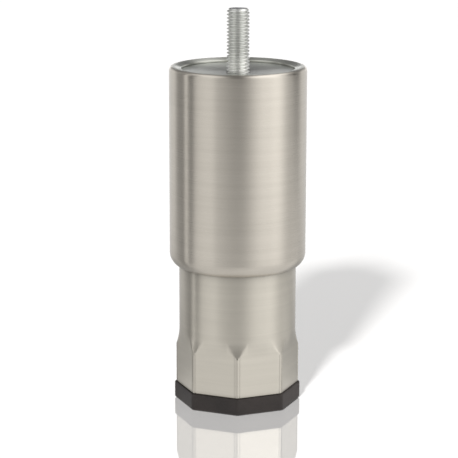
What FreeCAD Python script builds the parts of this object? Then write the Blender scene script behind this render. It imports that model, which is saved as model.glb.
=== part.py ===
"""Height adjustable furniture leg, all lengths in millimetres, +Z up, origin on the floor at the leg's axis.

A steel sleeve carries a spindle that is fixed to its top plate and ends above it in the mounting stud. A
narrower foot tube slides in the sleeve on two plastic rings. Turning the tube by the octagon at its lower end
runs its nut along the spindle and so raises or lowers the leg.
"""
import FreeCAD, Part
import math
import os
import Sketcher
from collections import namedtuple
from FreeCAD import Rotation, Vector

doc = FreeCAD.newDocument("adjustable_leg")
sheet = doc.addObject("Spreadsheet::Sheet", "sizes")

# Driving sizes
SIZES = (
    ("set_height", 150.0, "floor to the rim of the sleeve at the pictured setting"),
    ("travel_up", 28.0, "how far the foot can be screwed in from this setting"),
    ("travel_down", 20.0, "how far the foot can be screwed out from this setting"),
    ("end_gap", 0.3, "left at each end of the travel before the stops meet"),
    ("fit_gap", 0.05, "radial gap of pressed and screwed pieces"),
    ("run_gap", 0.1, "radial gap of sliding and turning pieces"),
    ("side_play", 0.15, "end play of the guide ring"),
    ("sleeve_dia", 60.0, "outside of the sleeve"),
    ("sleeve_length", 88.0, "mouth to rim"),
    ("sleeve_wall", 1.0, "sheet of the sleeve"),
    ("mouth_bend", 6.4, "outer radius of the curve at the mouth"),
    ("mouth_gap", 0.3, "between the mouth's edge and the foot tube"),
    ("rim_round", 1.6, "outer corner radius of the rim"),
    ("rim_land", 1.0, "width of the flat land on the rim"),
    ("lip_width", 5.5, "rolled lip, from the outside of the sleeve to its edge"),
    ("lip_drop", 0.8, "fall of the lip from the rim to its edge"),
    ("plate_thick", 2.0, "top plate"),
    ("plate_dish", 0.8, "depth of the dish in the top plate"),
    ("plate_land", 1.2, "flat of the plate that shows inside the lip"),
    ("stud_dia", 10.0, "mounting stud"),
    ("stud_rise", 25.0, "stud above the rim"),
    ("stud_chamfer", 1.0, "point of the stud"),
    ("stud_hole_gap", 0.2, "radial gap round the stud in the plate and washer"),
    ("relief_dia", 8.2, "run-out groove at the root of the stud"),
    ("dish_slope", 3.2, "width of the sloping ring round the dish"),
    ("backing_thick", 3.0, "washer under the top plate"),
    ("collar_dia", 26.0, "collar of the spindle"),
    ("collar_thick", 3.0, "collar of the spindle"),
    ("spindle_dia", 16.0, "threaded part of the spindle"),
    ("spindle_tail", 1.8, "spindle past the stop nut"),
    ("spindle_chamfer", 1.2, "lower end of the spindle"),
    ("stop_dia", 30.0, "stop washer"),
    ("stop_thick", 2.5, "stop washer"),
    ("nut_flats", 24.0, "across the flats of both nuts"),
    ("nut_height", 13.0, "nut in the foot"),
    ("nut_proud", 2.0, "nut above its carrier"),
    ("lock_height", 9.0, "hexagon of the stop nut"),
    ("lock_neck", 4.0, "round end of the stop nut"),
    ("lock_neck_dia", 22.0, "round end of the stop nut"),
    ("lock_collar_dia", 19.6, "plastic collar in the stop nut"),
    ("lock_collar_thick", 2.6, "plastic collar in the stop nut"),
    ("ring_room", 3.15, "between the foot tube and the bore of the sleeve"),
    ("foot_wall", 1.5, "sheet of the foot tube"),
    ("flat_press", 0.6, "flats of the octagon below the surface of the round tube"),
    ("corner_round", 1.2, "corners of the octagon, outside"),
    ("inner_round", 0.5, "corners of the octagon, inside"),
    ("octagon_height", 17.1, "straight part of the octagon"),
    ("blend_height", 7.0, "from the octagon to the round tube"),
    ("flange_gap", 1.2, "between the flange of the nut carrier and the sleeve"),
    ("flange_thick", 2.5, "flange of the nut carrier"),
    ("plug_depth", 12.0, "nut carrier inside the tube"),
    ("bore_gap", 0.5, "radial gap round the spindle in the carrier and washer"),
    ("pin_dia", 4.0, "carrier pins"),
    ("pin_length", 7.0, "carrier pins"),
    ("pin_below", 4.5, "pins below the end of the tube"),
    ("pin_sunk", 0.3, "pins below the surface of the tube"),
    ("guide_height", 8.0, "guide ring"),
    ("guide_chamfer", 0.6, "outer edges of the guide ring"),
    ("guide_split", 1.6, "slit of the guide ring"),
    ("snap_thick", 1.2, "retaining ring"),
    ("snap_depth", 0.6, "groove of the retaining ring in the tube"),
    ("snap_stand", 1.1, "retaining ring outside the tube"),
    ("snap_split", 9.0, "gap of the retaining ring"),
    ("bush_height", 9.0, "straight part of the mouth bush"),
    ("bush_seat", 2.9, "mouth bush below the start of the sleeve's curve"),
    ("bush_chamfer", 0.6, "lead-in of the mouth bush"),
    ("wiper_section", 2.0, "wire of the wiper ring"),
    ("wiper_room", 0.2, "groove above and below the wiper ring"),
    ("wiper_height", 3.0, "middle of the wiper ring above the bottom of the bush"),
    ("floor_thick", 4.0, "base plate"),
    ("pad_proud", 0.75, "pad beyond the flats of the octagon"),
    ("pad_corner", 2.0, "corners of the pad"),
    ("pad_height", 7.5, "pad"),
    ("pad_edge", 0.8, "rounded lower edge of the pad"),
    ("pad_top_edge", 0.4, "rounded upper edge of the pad"),
    ("tread_depth", 1.2, "grooves in the sole of the pad"),
    ("tread_width", 1.6, "grooves in the sole of the pad"),
    ("tread_inner", 8.0, "radius of the inner groove"),
    ("tread_inset", 4.6, "outer groove from the flats of the pad"),
    ("screw_inset", 10.25, "pad screws from the flats of the octagon"),
    ("screw_dia", 5.0, "pad screws"),
    ("screw_length", 6.6, "thread of a pad screw past its sleeve"),
    ("head_dia", 8.5, "head of a pad screw"),
    ("head_height", 2.8, "head of a pad screw"),
    ("head_flats", 3.0, "hexagon socket in the head"),
    ("head_socket", 1.6, "depth of that socket"),
    ("head_room", 1.4, "screw head above the floor"),
    ("head_hole_gap", 0.8, "radial room round the head"),
    ("sleeve_pipe_dia", 8.0, "steel sleeve round a pad screw"),
)
for row, (alias, value, note) in enumerate(SIZES, start=1):
    sheet.set(f"A{row}", alias)
    sheet.set(f"B{row}", str(value))
    sheet.set(f"C{row}", note)
    sheet.setAlias(f"B{row}", alias)
doc.recompute()

PIN_COUNT = 3
SCREW_COUNT = 4
SIDES = 8
Bend = namedtuple("Bend", "x y radius clockwise")


def half(alias):
    return f"(sizes.{alias} / 2)"


# Derived sizes, as expressions that the sketches are bound to
SLEEVE_R = half("sleeve_dia")
BORE_R = f"({SLEEVE_R} - sizes.sleeve_wall)"
NECK_R = f"({BORE_R} - sizes.ring_room)"
NECK_BORE_R = f"({NECK_R} - sizes.foot_wall)"
FLATS = f"(2 * ({NECK_R} - sizes.flat_press))"
INNER_FLATS = f"({FLATS} - 2 * sizes.foot_wall)"
PAD_FLATS = f"({FLATS} + 2 * sizes.pad_proud)"
STUD_R = half("stud_dia")
SPINDLE_R = half("spindle_dia")
MOUTH_Z = "(sizes.set_height - sizes.sleeve_length)"
# The mouth's curve ends where its inner edge clears the foot tube
CURVE_R = f"({SLEEVE_R} - sizes.mouth_bend)"
CURVE_COS = f"(({NECK_R} + sizes.mouth_gap - {CURVE_R}) / (sizes.mouth_bend - sizes.sleeve_wall))"
CURVE_SIN = f"sqrt(1 - {CURVE_COS} ^ 2)"
CURVE_Z = f"(sizes.mouth_bend * {CURVE_SIN})"
# The lip slopes from the land on the rim to its edge
LAND_OUT_R = f"({SLEEVE_R} - sizes.rim_round)"
LAND_IN_R = f"({LAND_OUT_R} - sizes.rim_land)"
LIP_R = f"({SLEEVE_R} - sizes.lip_width)"
LIP_RUN = f"({LAND_IN_R} - {LIP_R})"
LIP_SLANT = f"sqrt({LIP_RUN} ^ 2 + sizes.lip_drop ^ 2)"
LIP_UNDER = f"(sizes.lip_drop + sizes.sleeve_wall * {LIP_RUN} / {LIP_SLANT})"
BROW_R = f"({LIP_R} - sizes.plate_land)"
BACKING_R = f"({BROW_R} - sizes.dish_slope)"
# Heights of the stack under the rim
PLATE_Z = f"(sizes.set_height - {LIP_UNDER} - sizes.plate_thick)"
BACKING_Z = f"({PLATE_Z} - sizes.plate_dish - sizes.backing_thick)"
COLLAR_Z = f"({BACKING_Z} - sizes.collar_thick)"
# Heights of the foot's upper end, which meets the collar when the foot is screwed right in
NUT_Z = f"({COLLAR_Z} - sizes.end_gap - sizes.travel_up - sizes.nut_height)"
FLANGE_Z = f"({NUT_Z} + sizes.nut_height - sizes.nut_proud - sizes.flange_thick)"
CARRIER_Z = f"({FLANGE_Z} - sizes.plug_depth)"
GUIDE_Z = f"({FLANGE_Z} - sizes.side_play - sizes.guide_height)"
SNAP_Z = f"({GUIDE_Z} - sizes.side_play - sizes.snap_thick)"
SHELL_LENGTH = f"({FLANGE_Z} - sizes.pad_height)"
# The stop washer, which meets the carrier when the foot is screwed right out
STOP_Z = f"({CARRIER_Z} - sizes.travel_down - sizes.end_gap - sizes.stop_thick)"
LOCK_HEIGHT = "(sizes.lock_height + sizes.lock_neck)"
LOCK_Z = f"({STOP_Z} - {LOCK_HEIGHT})"
SPINDLE_END_Z = f"({LOCK_Z} - sizes.spindle_tail)"
BUSH_Z = f"({MOUTH_Z} + {CURVE_Z} - sizes.bush_seat)"
# The pad screws hang from the base plate in sleeves that the pad's holes take
HEAD_TOP = "(sizes.head_room + sizes.head_height)"
PIPE_LENGTH = f"(sizes.pad_height - {HEAD_TOP})"
SCREW_X = f"({FLATS} / 2 - sizes.screw_inset)"


def size(expression):
    """Value of an expression in the sizes of the sheet."""
    result = sheet.evalExpression(expression)
    return float(getattr(result, "Value", result))


def new_body(label, height=None):
    """Body of one piece, set at its height on the leg's axis."""
    body = doc.addObject("PartDesign::Body", label)
    if height:
        body.setExpression("Placement.Base.z", height)
    return body


def new_sketch(body, role="XZ_Plane", height=None):
    """Sketch on one of the body's origin planes; XZ for turned sections, XY for outlines seen from above."""
    sketch = body.newObject("Sketcher::SketchObject", f"{body.Name}_sketch")
    plane = next(item for item in body.Origin.OriginFeatures if item.Role == role)
    sketch.AttachmentSupport = [(plane, "")]
    sketch.MapMode = "FlatFace"
    if height:
        sketch.setExpression("AttachmentOffset.Base.z", height)
    return sketch


def bind(sketch, kind, geometry, point, expression):
    """Hold a point of the sketch at a distance from the sketch's origin."""
    value = size(expression)
    if abs(value) < 1e-9:
        axis = -2 if kind == "DistanceX" else -1
        sketch.addConstraint(Sketcher.Constraint("PointOnObject", geometry, point, axis))
        return
    index = sketch.addConstraint(Sketcher.Constraint(kind, -1, 1, geometry, point, value))
    sketch.setExpression(f"Constraints[{index}]", expression)


def bind_radius(sketch, geometry, expression):
    index = sketch.addConstraint(Sketcher.Constraint("Radius", geometry, size(expression)))
    sketch.setExpression(f"Constraints[{index}]", expression)


def direction(centre, point):
    return math.atan2(point.y - centre.y, point.x - centre.x)


def outline(sketch, *path):
    """Closed outline through the corners of the path; a Bend between two corners makes that side an arc."""
    corners = [item for item in path if not isinstance(item, Bend)]
    points = [Vector(size(x), size(y), 0) for x, y in corners]
    first = len(sketch.Geometry)
    bends = {}
    passed = 0
    for item in path:
        if isinstance(item, Bend):
            bends[passed - 1] = item
        else:
            passed += 1
    ends = []
    for side, start in enumerate(points):
        end = points[(side + 1) % len(points)]
        if side not in bends:
            sketch.addGeometry(Part.LineSegment(start, end))
            ends.append((1, 2))
            continue
        bend = bends[side]
        centre = Vector(size(bend.x), size(bend.y), 0)
        circle = Part.Circle(centre, Vector(0, 0, 1), size(bend.radius))
        angles = [direction(centre, start), direction(centre, end)]
        ends.append((2, 1) if bend.clockwise else (1, 2))
        if bend.clockwise:
            angles.reverse()
        sketch.addGeometry(Part.ArcOfCircle(circle, *angles))
    for side, (x, y) in enumerate(corners):
        before = (side - 1) % len(corners)
        sketch.addConstraint(
            Sketcher.Constraint("Coincident", first + before, ends[before][1], first + side, ends[side][0])
        )
        arcs = [bends[near] for near in (before, side) if near in bends]
        kinds = {"DistanceX": x, "DistanceY": y}
        if arcs:
            # A corner on an arc has one freedom left, taken along the arc
            angle = direction(Vector(size(arcs[0].x), size(arcs[0].y), 0), points[side])
            kinds.pop("DistanceX" if abs(math.cos(angle)) > abs(math.sin(angle)) else "DistanceY")
        for kind, expression in kinds.items():
            bind(sketch, kind, first + side, ends[side][0], expression)
    for side, bend in bends.items():
        bind(sketch, "DistanceX", first + side, 3, bend.x)
        bind(sketch, "DistanceY", first + side, 3, bend.y)
        bind_radius(sketch, first + side, bend.radius)


def circle(sketch, radius, x="0", y="0"):
    centre = Vector(size(x), size(y), 0)
    index = sketch.addGeometry(Part.Circle(centre, Vector(0, 0, 1), size(radius)))
    bind(sketch, "DistanceX", index, 3, x)
    bind(sketch, "DistanceY", index, 3, y)
    bind_radius(sketch, index, radius)


def polygon(sketch, flats, sides, rounding=None, turned=0):
    """Regular outline across its flats, one corner at the turned angle, each corner rounded if asked."""
    half_step = 180 / sides
    corner_r = rounding or "0"
    reach = f"(({flats} / 2 - {corner_r}) / cos({half_step} deg))"
    places = [turned + 360 / sides * corner for corner in range(sides)]
    if rounding is None:
        corners = [(f"({reach} * cos({place} deg))", f"({reach} * sin({place} deg))") for place in places]
        outline(sketch, *corners)
        return
    first = len(sketch.Geometry)
    arcs = []
    for place in places:
        toward = math.radians(place)
        centre = Vector(math.cos(toward), math.sin(toward), 0) * size(reach)
        corner = Part.Circle(centre, Vector(0, 0, 1), size(rounding))
        spread = math.radians(half_step)
        arcs.append(Part.ArcOfCircle(corner, toward - spread, toward + spread))
        sketch.addGeometry(arcs[-1])
    for corner, arc in enumerate(arcs):
        sketch.addGeometry(Part.LineSegment(arc.EndPoint, arcs[(corner + 1) % sides].StartPoint))
    for corner, place in enumerate(places):
        arc = first + corner
        line = first + sides + corner
        after = first + (corner + 1) % sides
        sketch.addConstraint(Sketcher.Constraint("Tangent", arc, 2, line, 1))
        sketch.addConstraint(Sketcher.Constraint("Tangent", line, 2, after, 1))
        bind_radius(sketch, arc, rounding)
        bind(sketch, "DistanceX", arc, 3, f"({reach} * cos({place} deg))")
        bind(sketch, "DistanceY", arc, 3, f"({reach} * sin({place} deg))")


def pad(body, sketch, length):
    feature = body.newObject("PartDesign::Pad", f"{body.Name}_pad")
    feature.Profile = sketch
    feature.setExpression("Length", length)
    sketch.Visibility = False
    return feature


def pocket(body, sketch, depth=None, upward=False):
    """Cut below the sketch, or above it if upward; right through where no depth is given."""
    doc.recompute()
    before = body.Shape.Volume
    feature = body.newObject("PartDesign::Pocket", f"{body.Name}_pocket")
    feature.Profile = sketch
    if depth:
        feature.setExpression("Length", depth)
    else:
        feature.Type = "ThroughAll"
    feature.Reversed = upward
    doc.recompute()
    if body.Shape.Volume > before - 1e-6:
        raise RuntimeError(f"{feature.Name} cuts nothing")
    return feature


def revolve(body, sketch, cut=False):
    kind = "Groove" if cut else "Revolution"
    feature = body.newObject(f"PartDesign::{kind}", f"{body.Name}_{kind.lower()}")
    feature.Profile = sketch
    feature.ReferenceAxis = (sketch, ["V_Axis"])
    feature.Angle = 360
    return feature


def loft(body, lower, upper, cut=False):
    kind = "SubtractiveLoft" if cut else "AdditiveLoft"
    feature = body.newObject(f"PartDesign::{kind}", f"{body.Name}_loft")
    feature.Profile = (lower, [""])
    feature.Sections = [(upper, [""])]
    feature.Ruled = True
    return feature


def around(body, feature, count):
    """The feature again at equal steps round the leg's axis."""
    pattern = body.newObject("PartDesign::PolarPattern", f"{body.Name}_pattern")
    pattern.Originals = [feature]
    axis = next(item for item in body.Origin.OriginFeatures if item.Role == "Z_Axis")
    pattern.Axis = (axis, [""])
    pattern.Angle = 360
    pattern.Occurrences = count
    body.Tip = pattern
    return pattern


def turned_piece(label, height, *path):
    """Piece turned about the leg's axis from one half section."""
    body = new_body(label, height)
    section = new_sketch(body)
    outline(section, *path)
    revolve(body, section)
    return body


def disc(label, height, radius, thickness, bore):
    return turned_piece(label, height, (bore, "0"), (radius, "0"), (radius, thickness), (bore, thickness))


def round_edges(body, height, radius):
    """Fillet on every edge of the piece that lies flat at a height."""
    doc.recompute()
    flat = []
    for number, edge in enumerate(body.Tip.Shape.Edges, start=1):
        if edge.BoundBox.ZLength < 1e-4 and abs(edge.BoundBox.ZMin - size(height)) < 1e-4:
            flat.append(f"Edge{number}")
    fillet = body.newObject("PartDesign::Fillet", f"{body.Name}_fillet")
    fillet.Base = (fillet.BaseFeature, flat)
    fillet.setExpression("Radius", radius)


def hexagon_nut(label, height, tall, bevels, turn_end=None):
    """Hexagon nut on the spindle; each bevel names an end face and the way into the nut from there."""
    body = new_body(label, height)
    blank = new_sketch(body, "XY_Plane")
    polygon(blank, "sizes.nut_flats", 6, turned=30)
    pad(body, blank, tall)
    far_r = f"({half('nut_flats')} / cos(30 deg) + sizes.end_gap)"
    for face, inward in bevels:
        corner = new_sketch(body)
        outline(
            corner,
            (half("nut_flats"), face),
            (far_r, face),
            (far_r, f"({face} {inward} ({far_r} - {half('nut_flats')}) * tan(30 deg))"),
        )
        revolve(body, corner, cut=True)
    if turn_end:
        turn_end(body)
    hole = new_sketch(body, "XY_Plane")
    circle(hole, f"({SPINDLE_R} + sizes.fit_gap)")
    pocket(body, hole, upward=True)
    return body


def make_outer_sleeve():
    """Tube with its mouth drawn inwards round a curve and its rim rolled inwards as a sloping lip."""
    inner_bend = "(sizes.mouth_bend - sizes.sleeve_wall)"
    lip_z = "(sizes.sleeve_length - sizes.lip_drop)"
    corner_z = "(sizes.sleeve_length - sizes.rim_round)"
    under_z = "(sizes.sleeve_length - sizes.sleeve_wall)"
    kink = f"(sizes.sleeve_wall * ({LIP_SLANT} - {LIP_RUN}) / sizes.lip_drop)"
    return turned_piece(
        "outer_sleeve",
        MOUTH_Z,
        (f"({CURVE_R} + sizes.mouth_bend * {CURVE_COS})", "0"),
        Bend(CURVE_R, CURVE_Z, "sizes.mouth_bend", False),
        (SLEEVE_R, CURVE_Z),
        (SLEEVE_R, corner_z),
        Bend(LAND_OUT_R, corner_z, "sizes.rim_round", False),
        (LAND_OUT_R, "sizes.sleeve_length"),
        (LAND_IN_R, "sizes.sleeve_length"),
        (LIP_R, lip_z),
        (
            f"({LIP_R} + sizes.sleeve_wall * sizes.lip_drop / {LIP_SLANT})",
            f"(sizes.sleeve_length - {LIP_UNDER})",
        ),
        (f"({LAND_IN_R} + {kink})", under_z),
        (LAND_OUT_R, under_z),
        Bend(LAND_OUT_R, corner_z, "(sizes.rim_round - sizes.sleeve_wall)", True),
        (BORE_R, corner_z),
        (BORE_R, CURVE_Z),
        Bend(CURVE_R, CURVE_Z, inner_bend, True),
        (f"({CURVE_R} + {inner_bend} * {CURVE_COS})", f"({CURVE_Z} - {inner_bend} * {CURVE_SIN})"),
    )


def make_top_plate():
    """Pressed disc under the lip, dished towards the stud."""
    hole_r = f"({STUD_R} + sizes.stud_hole_gap)"
    edge_r = f"({BORE_R} - sizes.fit_gap)"
    return turned_piece(
        "top_plate",
        PLATE_Z,
        (hole_r, "(0 - sizes.plate_dish)"),
        (BACKING_R, "(0 - sizes.plate_dish)"),
        (BROW_R, "0"),
        (edge_r, "0"),
        (edge_r, "sizes.plate_thick"),
        (BROW_R, "sizes.plate_thick"),
        (BACKING_R, "(sizes.plate_thick - sizes.plate_dish)"),
        (hole_r, "(sizes.plate_thick - sizes.plate_dish)"),
    )


def make_adjusting_spindle():
    """Turned bar: stud above the plate, collar under its washer, long screw below."""
    root_z = f"({BACKING_Z} - {SPINDLE_END_Z})"
    collar_z = f"({COLLAR_Z} - {SPINDLE_END_Z})"
    relief_low = f"({PLATE_Z} - sizes.plate_dish + sizes.plate_thick - {SPINDLE_END_Z})"
    rim = f"(sizes.set_height - {SPINDLE_END_Z})"
    top = f"({rim} + sizes.stud_rise)"
    relief_r = half("relief_dia")
    return turned_piece(
        "adjusting_spindle",
        SPINDLE_END_Z,
        ("0", "0"),
        (f"({SPINDLE_R} - sizes.spindle_chamfer)", "0"),
        (SPINDLE_R, "sizes.spindle_chamfer"),
        (SPINDLE_R, collar_z),
        (half("collar_dia"), collar_z),
        (half("collar_dia"), root_z),
        (STUD_R, root_z),
        (STUD_R, relief_low),
        (relief_r, f"({relief_low} + ({STUD_R} - {relief_r}))"),
        (relief_r, f"({rim} - ({STUD_R} - {relief_r}))"),
        (STUD_R, rim),
        (STUD_R, f"({top} - sizes.stud_chamfer)"),
        (f"({STUD_R} - sizes.stud_chamfer)", top),
        ("0", top),
    )


def make_mouth_bush():
    """Plastic ring seated in the curve of the mouth, with a groove for the wiper ring."""
    inner_r = f"({NECK_R} + sizes.run_gap)"
    outer_r = f"({BORE_R} - sizes.fit_gap)"
    seat_r = "(sizes.mouth_bend - sizes.sleeve_wall - sizes.fit_gap)"
    top = "(sizes.bush_seat + sizes.bush_height)"
    groove_r = f"({inner_r} + sizes.wiper_section + sizes.fit_gap)"
    groove_half = f"({half('wiper_section')} + sizes.wiper_room)"
    groove_low = f"(sizes.wiper_height - {groove_half})"
    groove_high = f"(sizes.wiper_height + {groove_half})"
    return turned_piece(
        "mouth_bush",
        BUSH_Z,
        (inner_r, "0"),
        (f"({CURVE_R} + sqrt({seat_r} ^ 2 - sizes.bush_seat ^ 2))", "0"),
        Bend(CURVE_R, "sizes.bush_seat", seat_r, False),
        (outer_r, "sizes.bush_seat"),
        (outer_r, f"({top} - sizes.bush_chamfer)"),
        (f"({outer_r} - sizes.bush_chamfer)", top),
        (inner_r, top),
        (inner_r, groove_high),
        (groove_r, groove_high),
        (groove_r, groove_low),
        (inner_r, groove_low),
    )


def make_wiper_ring():
    """Rubber ring of round section in the groove of the bush."""
    ring = doc.addObject("Part::Torus", "wiper_ring")
    ring.setExpression("Radius1", f"({NECK_R} + sizes.run_gap + {half('wiper_section')})")
    ring.setExpression("Radius2", half("wiper_section"))
    ring.setExpression("Placement.Base.z", f"({BUSH_Z} + sizes.wiper_height)")
    return ring


def make_split_ring(label, height, split, *path):
    """Turned ring cut through on one side so that it springs."""
    body = turned_piece(label, height, *path)
    slit = new_sketch(body, "XY_Plane")
    far = SLEEVE_R
    outline(
        slit,
        ("0", f"(0 - {split} / 2)"),
        (far, f"(0 - {split} / 2)"),
        (far, f"({split} / 2)"),
        ("0", f"({split} / 2)"),
    )
    pocket(body, slit, upward=True)
    return body


def make_guide_ring():
    inner_r = f"({NECK_R} + sizes.run_gap)"
    outer_r = f"({BORE_R} - sizes.run_gap)"
    slope = "sizes.guide_chamfer"
    return make_split_ring(
        "guide_ring",
        GUIDE_Z,
        "sizes.guide_split",
        (inner_r, "0"),
        (f"({outer_r} - {slope})", "0"),
        (outer_r, slope),
        (outer_r, f"(sizes.guide_height - {slope})"),
        (f"({outer_r} - {slope})", "sizes.guide_height"),
        (inner_r, "sizes.guide_height"),
    )


def make_retaining_ring():
    inner_r = f"({NECK_R} - sizes.snap_depth + sizes.fit_gap)"
    outer_r = f"({NECK_R} + sizes.snap_stand)"
    return make_split_ring(
        "retaining_ring",
        SNAP_Z,
        "sizes.snap_split",
        (inner_r, "0"),
        (outer_r, "0"),
        (outer_r, "sizes.snap_thick"),
        (inner_r, "sizes.snap_thick"),
    )


def make_foot_shell():
    """Drawn tube whose lower end is formed into an octagon, by a loft from the flats to the round."""
    body = new_body("foot_shell", "sizes.pad_height")
    round_z = "(sizes.octagon_height + sizes.blend_height)"
    foot = new_sketch(body, "XY_Plane")
    polygon(foot, FLATS, SIDES, "sizes.corner_round", turned=90)
    pad(body, foot, "sizes.octagon_height")
    lower = new_sketch(body, "XY_Plane", "sizes.octagon_height")
    polygon(lower, FLATS, SIDES, "sizes.corner_round", turned=90)
    upper = new_sketch(body, "XY_Plane", round_z)
    circle(upper, NECK_R)
    loft(body, lower, upper)
    neck = new_sketch(body, "XY_Plane", round_z)
    circle(neck, NECK_R)
    pad(body, neck, f"({SHELL_LENGTH} - {round_z})")
    bore = new_sketch(body, "XY_Plane", round_z)
    circle(bore, NECK_BORE_R)
    pocket(body, bore, f"({SHELL_LENGTH} - {round_z})", upward=True)
    lower = new_sketch(body, "XY_Plane", "sizes.octagon_height")
    polygon(lower, INNER_FLATS, SIDES, "sizes.inner_round", turned=90)
    upper = new_sketch(body, "XY_Plane", round_z)
    circle(upper, NECK_BORE_R)
    loft(body, lower, upper, cut=True)
    hollow = new_sketch(body, "XY_Plane")
    polygon(hollow, INNER_FLATS, SIDES, "sizes.inner_round", turned=90)
    pocket(body, hollow, "sizes.octagon_height", upward=True)
    groove = new_sketch(body)
    groove_r = f"({NECK_R} - sizes.snap_depth)"
    groove_low = f"({SNAP_Z} - sizes.pad_height - sizes.fit_gap)"
    groove_high = f"({SNAP_Z} - sizes.pad_height + sizes.snap_thick + sizes.fit_gap)"
    outline(
        groove,
        (groove_r, groove_low),
        (SLEEVE_R, groove_low),
        (SLEEVE_R, groove_high),
        (groove_r, groove_high),
    )
    revolve(body, groove, cut=True)
    drill_pin_holes(body, "sizes.pad_height")
    return body


def drill_pin_holes(body, base_height):
    """Radial holes for the pins that fix the carrier in the tube."""
    hole = new_sketch(body, "YZ_Plane", f"({NECK_R} - sizes.pin_sunk - sizes.pin_length)")
    circle(hole, f"({half('pin_dia')} + sizes.fit_gap)", y=f"({FLANGE_Z} - sizes.pin_below - {base_height})")
    drilled = pocket(body, hole, "sizes.pin_length + sizes.foot_wall", upward=True)
    around(body, drilled, PIN_COUNT)


def make_nut_carrier():
    """Flanged plug in the tube's upper end, with a hexagon recess for the nut."""
    plug_r = f"({NECK_BORE_R} - sizes.fit_gap)"
    flange_r = f"({BORE_R} - sizes.flange_gap)"
    top = "(sizes.plug_depth + sizes.flange_thick)"
    bore_r = f"({SPINDLE_R} + sizes.bore_gap)"
    body = turned_piece(
        "nut_carrier",
        CARRIER_Z,
        (bore_r, "0"),
        (plug_r, "0"),
        (plug_r, "sizes.plug_depth"),
        (flange_r, "sizes.plug_depth"),
        (flange_r, top),
        (bore_r, top),
    )
    recess = new_sketch(body, "XY_Plane", top)
    polygon(recess, "(sizes.nut_flats + 2 * sizes.fit_gap)", 6, turned=30)
    pocket(body, recess, "(sizes.nut_height - sizes.nut_proud)")
    drill_pin_holes(body, CARRIER_Z)
    return body


def make_foot_nut():
    return hexagon_nut("foot_nut", NUT_Z, "sizes.nut_height", (("0", "+"), ("sizes.nut_height", "-")))


def turn_lock_end(body):
    """Round lower end of the self-locking nut, with the recess for its plastic collar."""
    waste = new_sketch(body)
    outline(
        waste,
        (half("lock_neck_dia"), "0"),
        ("sizes.nut_flats", "0"),
        ("sizes.nut_flats", "sizes.lock_neck"),
        (half("lock_neck_dia"), "sizes.lock_neck"),
    )
    revolve(body, waste, cut=True)
    recess = new_sketch(body, "XY_Plane")
    circle(recess, f"({half('lock_collar_dia')} + sizes.fit_gap)")
    pocket(body, recess, "sizes.lock_collar_thick", upward=True)


def make_stop_nut():
    return hexagon_nut("stop_nut", LOCK_Z, LOCK_HEIGHT, ((LOCK_HEIGHT, "-"),), turn_lock_end)


def make_stop_nut_collar():
    return disc(
        "stop_nut_collar", LOCK_Z, half("lock_collar_dia"), "sizes.lock_collar_thick",
        f"({SPINDLE_R} + sizes.fit_gap)",
    )


def make_base_plate():
    """Octagonal plate in the tube's lower end, tapped for the pad screws."""
    body = new_body("base_plate", "sizes.pad_height")
    plate = new_sketch(body, "XY_Plane")
    polygon(
        plate,
        f"({INNER_FLATS} - 2 * sizes.fit_gap)",
        SIDES,
        "sizes.inner_round",
        turned=90,
    )
    pad(body, plate, "sizes.floor_thick")
    hole = new_sketch(body, "XY_Plane")
    circle(hole, f"({half('screw_dia')} + sizes.fit_gap)", x=SCREW_X)
    around(body, pocket(body, hole, upward=True), SCREW_COUNT)
    return body


def make_base_pad():
    """Moulded octagonal pad with rounded edges, stepped screw holes and two ring grooves in its sole."""
    body = new_body("base_pad")
    block = new_sketch(body, "XY_Plane")
    polygon(block, PAD_FLATS, SIDES, "sizes.pad_corner", turned=90)
    pad(body, block, "sizes.pad_height")
    round_edges(body, "0", "sizes.pad_edge")
    round_edges(body, "sizes.pad_height", "sizes.pad_top_edge")
    treads = new_sketch(body, "XY_Plane")
    for radius in ("sizes.tread_inner", f"({PAD_FLATS} / 2 - sizes.tread_inset)"):
        circle(treads, f"({radius} - {half('tread_width')})")
        circle(treads, f"({radius} + {half('tread_width')})")
    pocket(body, treads, "sizes.tread_depth", upward=True)
    hole = new_sketch(body, "XY_Plane")
    circle(hole, f"({half('sleeve_pipe_dia')} + sizes.fit_gap)", x=SCREW_X)
    around(body, pocket(body, hole, upward=True), SCREW_COUNT)
    counterbore = new_sketch(body, "XY_Plane")
    circle(counterbore, f"({half('head_dia')} + sizes.head_hole_gap)", x=SCREW_X)
    around(body, pocket(body, counterbore, HEAD_TOP, upward=True), SCREW_COUNT)
    return body


def make_group(label, piece, count, reach):
    """One node of equal pieces, spaced round the leg's axis."""
    group = doc.addObject("Part::Feature", label)
    copies = []
    for place in range(count):
        copy = piece.Shape.copy()
        copy.translate(Vector(reach, 0, 0))
        copy.rotate(Vector(0, 0, 0), Vector(0, 0, 1), 360 / count * place)
        copies.append(copy)
    group.Shape = Part.makeCompound(copies)
    return group


def make_pad_screws():
    """Low-head screws with hexagon sockets, head down."""
    body = turned_piece(
        "one_pad_screw",
        "sizes.head_room",
        ("0", "0"),
        (f"({half('head_dia')} - sizes.head_socket / 4)", "0"),
        (half("head_dia"), "(sizes.head_socket / 4)"),
        (half("head_dia"), "sizes.head_height"),
        (half("screw_dia"), "sizes.head_height"),
        (half("screw_dia"), f"(sizes.head_height + {PIPE_LENGTH} + sizes.screw_length)"),
        ("0", f"(sizes.head_height + {PIPE_LENGTH} + sizes.screw_length)"),
    )
    socket = new_sketch(body, "XY_Plane")
    polygon(socket, "sizes.head_flats", 6)
    pocket(body, socket, "sizes.head_socket", upward=True)
    return make_group("pad_screws", body, SCREW_COUNT, size(SCREW_X))


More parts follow.
